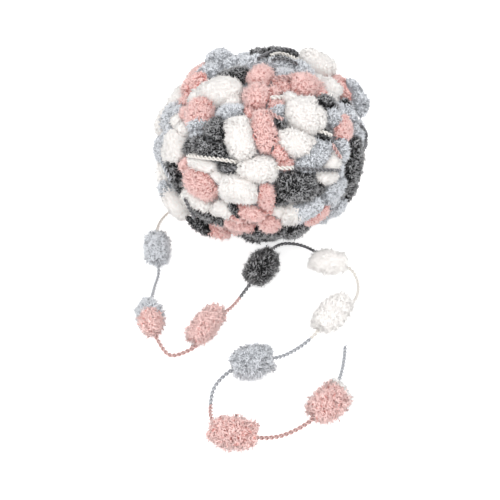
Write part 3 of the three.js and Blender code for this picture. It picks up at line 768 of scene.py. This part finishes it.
def fillDye(index, point, taken):
    # the dye of a front pompom that is near, as one dye runs over a few pompoms, or else any
    gaps = [np.linalg.norm(other["point"] - point) for other in taken]
    if min(gaps) < ball["dyeRun"]:
        return taken[int(np.argmin(gaps))]["dye"]
    share = scatter(index + 2000)
    return [name for top, name in ball["fillShares"] if share < top][0]


def fillSeats(taken):
    # an even spiral of places over the ball, kept where no front pompom is near
    seats = []
    goldenTurn = math.pi * (3 - math.sqrt(5))
    for i in range(ball["fillCount"]):
        height = 1 - (2 * i + ball["fillStart"] + ball["fillStep"] * scatter(i + 1200)) / ball["fillCount"]
        ring = math.sqrt(1 - height * height)
        angle = i * goldenTurn + ball["fillSwing"] * (scatter(i + 1500) - 0.5)
        point = ballPoint(np.array([ring * math.cos(angle), ring * math.sin(angle), height]))
        towards = unit(np.array(view["place"]) / mm - ballCentre - point)
        if unit(point / ballHalf**2).dot(towards) > (0 if height < 0 else ball["fillFacing"]):
            continue
        if any(np.linalg.norm(other["point"] - point) < ball["fillSpacing"] for other in taken):
            continue
        winding = 2 * math.pi * scatter(i)
        heading = np.array([math.cos(winding), math.sin(winding), scatter(i + 300) - 0.5])
        size = ball["fillSmallest"] + ball["fillGrowth"] * scatter(i + 600)
        dye = fillDye(i, point, taken)
        endDye = fillDye(i + 500, point, taken) if scatter(i + 2500) < ball["fillTwoDyed"] else None
        wide = ball["fillWide"] * size
        inset = ball["thick"] * wide - ball["fillLift"] * scatter(i + 900)
        inset += ball["pressed"] * max(0, -height - ball["pressedBelow"])
        middle = point - unit(point / ballHalf**2) * inset
        seats.append(seat(middle, heading, ball["fillLong"] * size, wide, dye, endDye, ball["fillSplit"]))
        seats[-1]["coarse"] = ball["fillCoarse"]
    return seats


def insideOf(pompom, places, share):
    local = (places - pompom["middle"]) @ pompom["axes"].T
    return np.linalg.norm(local / pompom["half"], axis=1) < share


def chinkSeats(taken):
    # small, deeper pompoms in the chinks that the others leave, each dyed like its neighbour
    seats = []
    places = spiralWays(ball["chinkTries"]) * (ballHalf - ball["chinkDepth"]) + ballCentre
    bare = np.ones(len(places), dtype=bool)
    for pompom in taken:
        bare &= ~insideOf(pompom, places, 1.0)
    for i in np.flatnonzero(bare):
        if any(np.linalg.norm(other["middle"] - places[i]) < ball["chinkApart"] for other in seats):
            continue
        offsets = [(places[i] - pompom["middle"]) @ pompom["axes"].T / pompom["half"] for pompom in taken]
        nearest = int(np.argmin(np.linalg.norm(offsets, axis=1)))
        beside = taken[nearest]
        pastSplit = beside["endDye"] and offsets[nearest][0] > beside["split"]
        heading = np.array([math.cos(i), math.sin(i), scatter(i) - 0.5])
        middle = places[i] - ballCentre
        dye = beside["endDye"] if pastSplit else beside["dye"]
        seats.append(seat(middle, heading, ball["chinkLong"], ball["chinkWide"], dye))
    return seats


frontSeats = [frontSeat(row) for row in frontPompoms]
backSeats = fillSeats(frontSeats)
# the few of these that peep out in front, by their place in the list
peepingDyes = {0: "light", 1: "light", 2: "light", 3: "light", 4: "pink", 11: "light", 37: "white",
               42: "dark", 64: "dark", 69: "dark", 77: "dark"}
for index, dye in peepingDyes.items():
    backSeats[index]["dye"] = dye
seats = frontSeats + backSeats + [frontSeat(row) for row in smallPompoms]
seats += chinkSeats(seats)
for index, pompom in enumerate(seats):
    pompom["seed"] = index


def crowdingOf(index):
    # whether another pompom or the wound core covers a lock's end, or it points into the ball, and
    # how close the next pompom is, from 0 to 1, which sets the painted crease shade
    def crowding(ends, normal):
        fromCentre = ends - ballCentre
        covered = np.linalg.norm(fromCentre / (ballHalf - ball["coreDepth"]), axis=1) < 1
        covered |= (normal * unit(fromCentre)).sum(axis=1) < ball["facesIn"]
        closeness = np.zeros(len(ends))
        for other, pompom in enumerate(seats):
            if other == index or np.linalg.norm(pompom["middle"] - seats[index]["middle"]) > ball["reach"]:
                continue
            depth = np.linalg.norm(((ends - pompom["middle"]) @ pompom["axes"].T) / pompom["half"], axis=1)
            covered |= depth < ball["coveredTo"]
            closeness = np.maximum(closeness, np.clip((ball["creaseTo"] - depth) / ball["creaseRun"], 0, 1))
        return covered, closeness
    return crowding


ballCharacter = {
    "white": {"barrel": 2.5, "lumps": 0.08, "dimple": 0.05, "clump": 2.0, "inset": 0.3, "groove": 0.25,
              "ragged": 0.45, "rib": 0.15, "ribPitch": 2.6, "splay": 0.3, "stray": 0.3, "spread": 1.0,
              "softness": 0.65, "shade": 0.25, "creaseShade": 0.55, "fibres": 0.6, "fringe": 1.8, "proud": 0.12,
              "proudBy": 1.0, "bodyDepth": 0.3},
    "other": {"barrel": 2.5, "lumps": 0.09, "dimple": 0.05, "clump": 2.2, "inset": 0.3, "groove": 0.7,
              "ragged": 0.8, "rib": 0.0, "ribPitch": 3.0, "splay": 0.45, "stray": 0.3, "spread": 0.97,
              "softness": 0.45, "shade": 0.5, "creaseShade": 0.4, "fibres": 0.6, "fringe": 1.7, "proud": 0.12,
              "proudBy": 1.0, "bodyDepth": 0.6},
}
ballHeaps = {side: {name: newHeap() for name in threadDyesAndPaintedShade} for side in ("front", "back")}
for index, pompom in enumerate(seats):
    character = ballCharacter["white" if pompom["dye"] == "white" else "other"]
    side = "front" if pompom["middle"][1] < 0 else "back"
    growPompom(ballHeaps[side], pompom, character, np.random.default_rng(ball["seed"] + index),
               crowdingOf(index), ball["offFloor"])

for side, heaps in ballHeaps.items():
    for name in threadDyesAndPaintedShade:
        piece = heapPiece(f"ballPile_{side}_{name}", heaps[name], pileMaterials)
        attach(piece, "root")
        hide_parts("wound_ball")
print("ball pompoms grown")

# The wound core under the pompoms, seen only in the chinks between them, with two crossing sets of
# low ridges where the thread is wound
winding = {"fineness": 4, "rise": 0.8, "level": (40, 3), "steep": (23, 31)}
bpy.ops.object.select_all(action="DESELECT")
bpy.ops.mesh.primitive_ico_sphere_add(subdivisions=winding["fineness"], radius=1)
core = bpy.context.object
core.name = core.data.name = "woundCore"
for vertex in core.data.vertices:
    out = np.array(vertex.co[:])
    levelRidge = math.sin(winding["level"][0] * out[2] + winding["level"][1] * out[0])
    steepRidge = math.sin(winding["steep"][0] * out[0] + winding["steep"][1] * out[1])
    lump = 0.5 * levelRidge + 0.5 * steepRidge
    place = out * (ballHalf - ball["coreDepth"] + winding["rise"] * lump) + ballCentre
    vertex.co = Vector(place * mm)
bpy.ops.object.shade_smooth()
# it has no tones, so it shows mostly the light pile's darker root colour: painted shade in the chinks
core.data.materials.append(pileMaterials[dyeNames.index("light")])
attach(core, "root")
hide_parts("wound_ball")
print("core wound")

# Strands of the thread that show on the ball: dye, how far they stand off, and places across and
# up as in the pompom table. Their run is smoothed, and their ends dive between the pompoms
strandRun = {"perSpan": 8, "step": 1.0, "smoothing": 5, "sink": 3.0, "sinkPower": 6}
ballStrands = (
    ("dark", 0.9, ((-1.7, 48.5), (2.5, 51), (8, 53.2), (13.5, 54), (18.5, 53), (21, 50.6))),
    ("white", 1.2, ((5.5, 50.6), (10, 51.6), (15, 50.8), (20.5, 48.4))),
    ("dark", 1.2, ((6.5, 48.4), (11, 49), (15.5, 48.2), (20, 46))),
    ("white", 0.2, ((-40, -4.6), (-31, -5.8), (-21.8, -6.8), (-13, -8.5))),
    ("white", 0.7, ((8.5, -11.3), (13, -11.6), (18, -11.5))),
    ("dark", 0.4, ((17.4, -11.5), (25.1, -12.4), (34, -12.8), (43.8, -12.9))),
    ("dark", 0.8, ((54.9, 13), (58.2, 7.5), (58.4, 2), (57.1, -1.9))),
    ("dark", 0.7, ((-41.6, -28.4), (-39.4, -33.9), (-36.7, -38.8))),
    ("light", 0.7, ((-53.8, -9.6), (-52, -13.5), (-49.9, -17.3))),
    ("pink", 0.7, ((4.1, 19.6), (8.2, 17.4), (12.4, 15.2))),
    ("pink", 0.7, ((8.5, 38.4), (12.6, 38.8), (16.8, 38.4))),
    ("pink", 0.7, ((40, 1.2), (42, -2.4), (44, -5.8))),
    ("white", 0.7, ((6.3, 27.4), (9.1, 27.6), (11.9, 27.4))),
    ("white", 0.8, ((33, 9), (36, 7.8), (38.8, 6.4))),
    ("dark", 0.7, ((-21, -12.2), (-17.2, -12.3), (-13.4, -11.4))),
)


def seenSkin(across, up):
    # where the view through a place in the facing plane first meets a pompom, or the smooth ball
    start = np.array(view["place"]) / mm
    along = unit(ballCentre + np.array([across, 0, 0]) + upWay * up - start)
    nearest = (ballCentre + seenPlace(across, up, ballHalf) - start).dot(along)
    for pompom in seats:
        local = pompom["axes"] @ (start - pompom["middle"]) / pompom["half"]
        step = pompom["axes"] @ along / pompom["half"]
        spare = local.dot(step) ** 2 - step.dot(step) * (local.dot(local) - 1)
        if spare > 0:
            nearest = min(nearest, (-local.dot(step) - math.sqrt(spare)) / step.dot(step))
    return start, along, nearest


strandHeap = newHeap()
for number, (dye, lift, places) in enumerate(ballStrands):
    rough = smoothLine([(across, up, 0) for across, up in places], strandRun["perSpan"])
    flat, along = evenLine(rough, strandRun["step"])
    rays = [seenSkin(across, up) for across, up, _ in flat]
    smoothing = strandRun["smoothing"]
    depths = np.pad([ray[2] for ray in rays], smoothing // 2, mode="edge")
    depths = np.convolve(depths, np.ones(smoothing) / smoothing, mode="valid")
    sink = strandRun["sink"] * np.abs(2 * along / along[-1] - 1) ** strandRun["sinkPower"]
    line = np.array([ray[0] + ray[1] * (depth - lift + down)
                     for ray, depth, down in zip(rays, depths, sink)])
    addThread(strandHeap, line * mm, lambda distance, name=dye: name, phase=number)
strands = heapPiece("ballStrands", strandHeap, threadMaterials)
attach(strands, "root")
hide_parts("wound_ball")
print("strands laid on the ball")

# Matt white board for a table top. Its glow keeps it near white, where soft light alone leaves it grey
tableTop = {"size": 6, "grain": 900.0, "dull": "#d6d6d6", "bright": "#d9d9d9", "roughness": 0.9,
            "specular": 0.1, "glow": 0.66}
bpy.ops.object.select_all(action="DESELECT")
bpy.ops.mesh.primitive_plane_add(size=tableTop["size"])
floor = bpy.context.object
floor.name = "floor"
paper = bpy.data.materials.new("matt white board")
paper.use_nodes = True
paperTree = paper.node_tree
paperTree.nodes.clear()
paperPlace = addNode(paperTree, "ShaderNodeTexCoord")
grain = addNode(paperTree, "ShaderNodeTexNoise", inputs={
    "Vector": paperPlace.outputs["Object"], "Scale": tableTop["grain"], "Detail": 2.0})
tone = addNode(paperTree, "ShaderNodeMix", {"data_type": "RGBA"}, {
    0: grain.outputs["Fac"], 6: linearColour(tableTop["dull"]), 7: linearColour(tableTop["bright"])})
board = addNode(paperTree, "ShaderNodeBsdfPrincipled", inputs={
    "Base Color": tone.outputs[2], "Roughness": tableTop["roughness"],
    "Specular IOR Level": tableTop["specular"], "Emission Color": (1, 1, 1, 1),
    "Emission Strength": tableTop["glow"]})
addNode(paperTree, "ShaderNodeOutputMaterial", inputs={"Surface": board.outputs["BSDF"]})
floor.data.materials.append(paper)

# Soft, bright light all round, with a large, weak lamp above, in front and a little to the left
light = {"sky": 1.27, "key": 4.0, "keySize": 1.2, "keyPlace": (-0.15, -0.5, 1.0), "keyAim": (0, 0, 0.02)}
world = bpy.data.worlds.new("soft studio")
bpy.context.scene.world = world
world.use_nodes = True
world.node_tree.nodes["Background"].inputs["Color"].default_value = (1, 1, 1, 1)
world.node_tree.nodes["Background"].inputs["Strength"].default_value = light["sky"]
bpy.ops.object.light_add(type="AREA", location=light["keyPlace"])
key = bpy.context.object
key.data.size = light["keySize"]
key.data.energy = light["key"]
keyWay = Vector(light["keyAim"]) - Vector(light["keyPlace"])
key.rotation_euler = keyWay.to_track_quat("-Z", "Y").to_euler()
bpy.context.scene.view_settings.view_transform = "Standard"
print("floor and light set")
